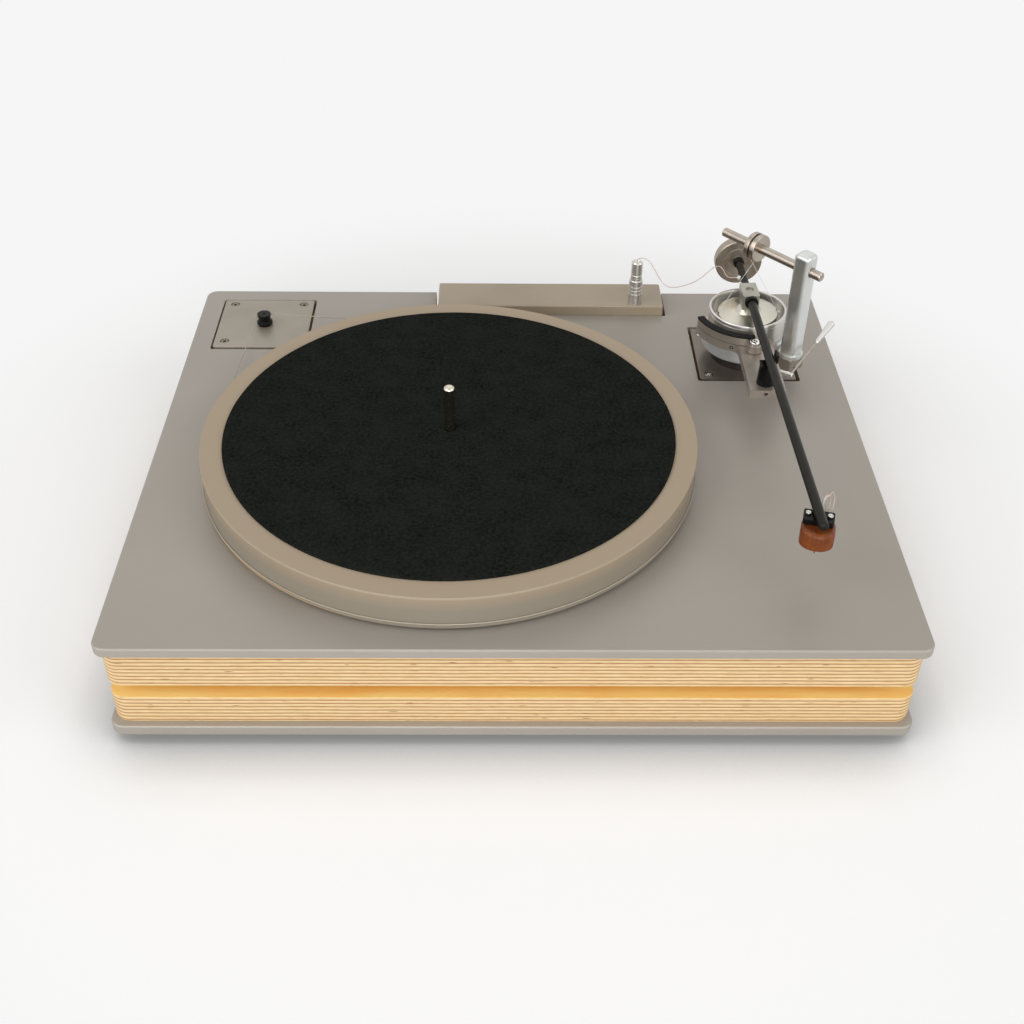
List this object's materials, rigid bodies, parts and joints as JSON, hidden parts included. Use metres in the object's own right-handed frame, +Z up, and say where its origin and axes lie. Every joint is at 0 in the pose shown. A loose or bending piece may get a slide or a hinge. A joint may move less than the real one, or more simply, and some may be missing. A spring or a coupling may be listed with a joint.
{
  "type": "turntable",
  "caption": "Belt-driven record turntable on a plywood plinth, its straight arm hung on two threads over a damping cup with a cam lift.",
  "frame": {"origin": "centre of the base rectangle, on the surface the feet stand on", "axes": "+X to the right along the front edge, +Y from the front to the back, +Z up"},
  "size_m": [0.481, 0.402, 0.1808],
  "materials": {
    "plate": "satin",
    "inset_plate": "satin",
    "terminal": "satin",
    "plywood": "satin",
    "pale_wood": "satin",
    "rubber": "matte",
    "acrylic": "satin",
    "suede": "matte",
    "steel": "polished",
    "dark_steel": "polished",
    "chrome": "polished",
    "aluminium": "satin",
    "bronze_steel": "polished",
    "brass": "polished",
    "black_plastic": "gloss",
    "black_tube": "satin",
    "rosewood": "satin",
    "nylon": "satin",
    "wire": "satin"
  },
  "bodies": {
    "plinth": {"foot_front_left": "rubber", "foot_front_right": "rubber", "foot_back_left": "rubber", "foot_back_right": "rubber", "bottom_plate": "plate", "lower_board": "plywood", "board_spacer": "pale_wood", "upper_board": "plywood", "top_plate": "plate", "bearing_housing": "brass", "motor_plate": "inset_plate", "motor_screw_1": "steel", "motor_screw_2": "steel", "motor_screw_3": "steel", "motor_screw_4": "steel", "motor_body": "dark_steel", "drive_belt": "nylon", "terminal_block": "terminal", "phono_socket_left": "brass", "phono_socket_right": "brass", "power_inlet": "black_plastic", "wire_socket": "steel", "wire_plug": "steel", "arm_wire": "wire", "arm_base_plate": "dark_steel", "arm_base_screw_1": "steel", "arm_base_screw_2": "steel", "arm_base_screw_3": "steel", "arm_base_screw_4": "steel", "arm_pedestal": "dark_steel", "arm_collar": "aluminium", "fluid_cup": "steel", "gantry_post": "aluminium", "gantry_rod": "bronze_steel", "filament_right": "nylon", "filament_left": "nylon", "lift_bracket": "aluminium", "arm_rest": "black_plastic"},
    "platter": {"platter": "acrylic", "platter_mat": "suede", "spindle": "steel"},
    "pulley": {"motor_pulley": "black_plastic"},
    "suspension": {"bead_left": "nylon", "bead_right": "nylon"},
    "arm": {"float_disc": "aluminium", "pivot_block": "aluminium", "arm_tube": "black_tube", "headshell": "black_plastic", "headshell_screw_left": "chrome", "headshell_screw_right": "chrome", "cartridge": "rosewood", "stylus": "black_plastic"},
    "weight": {"counterweight": "chrome", "weight_collar": "black_plastic"},
    "lever": {"lift_axle": "chrome", "lift_lever": "aluminium"},
    "lift": {"lift_platform": "aluminium", "lift_pad": "rubber", "lift_piston": "chrome"},
    "bias": {"bias_knob": "bronze_steel"}
  },
  "joints": [
    {"name": "platter_spin", "type": "hinge", "parent": "plinth", "child": "platter", "pos_m": [-0.0412, -0.024, 0.0801], "axis": [0, 0, 1], "continuous": true},
    {"name": "pulley_spin", "type": "hinge", "parent": "plinth", "child": "pulley", "pos_m": [-0.1889, 0.15065, 0.0801], "axis": [0, 0, 1], "continuous": true},
    {"name": "arm_swing", "type": "hinge", "parent": "plinth", "child": "suspension", "pos_m": [0.173, 0.112, 0.1146], "axis": [0, 0, 1], "range_deg": [-46, 0]},
    {"name": "arm_tilt", "type": "hinge", "parent": "suspension", "child": "arm", "pos_m": [0.173, 0.112, 0.1146], "axis": [-0.9993, -0.0166, -0.0349], "range_deg": [0, 8]},
    {"name": "weight_slide", "type": "slide", "parent": "arm", "child": "weight", "axis": [-0.0166, 0.9999, 0], "range_m": [-0.006, 0.003]},
    {"name": "lever_turn", "type": "hinge", "parent": "plinth", "child": "lever", "pos_m": [0.1716, 0.0678, 0.0996], "axis": [0.8572, -0.515, 0], "range_deg": [0, 60]},
    {"name": "lift_slide", "type": "slide", "parent": "plinth", "child": "lift", "axis": [0, 0, 1], "range_m": [0, 0.005]},
    {"name": "bias_turn", "type": "hinge", "parent": "plinth", "child": "bias", "pos_m": [0.173, 0.112, 0.1686], "axis": [0.6561, -0.7547, 0], "range_deg": [-90, 90]}
  ],
  "couplings": [
    {"joint": "pulley_spin", "follows": "platter_spin", "ratio": 35.17},
    {"joint": "lever_turn", "follows": "lift_slide", "rad_per_m": 209.4}
  ]
}
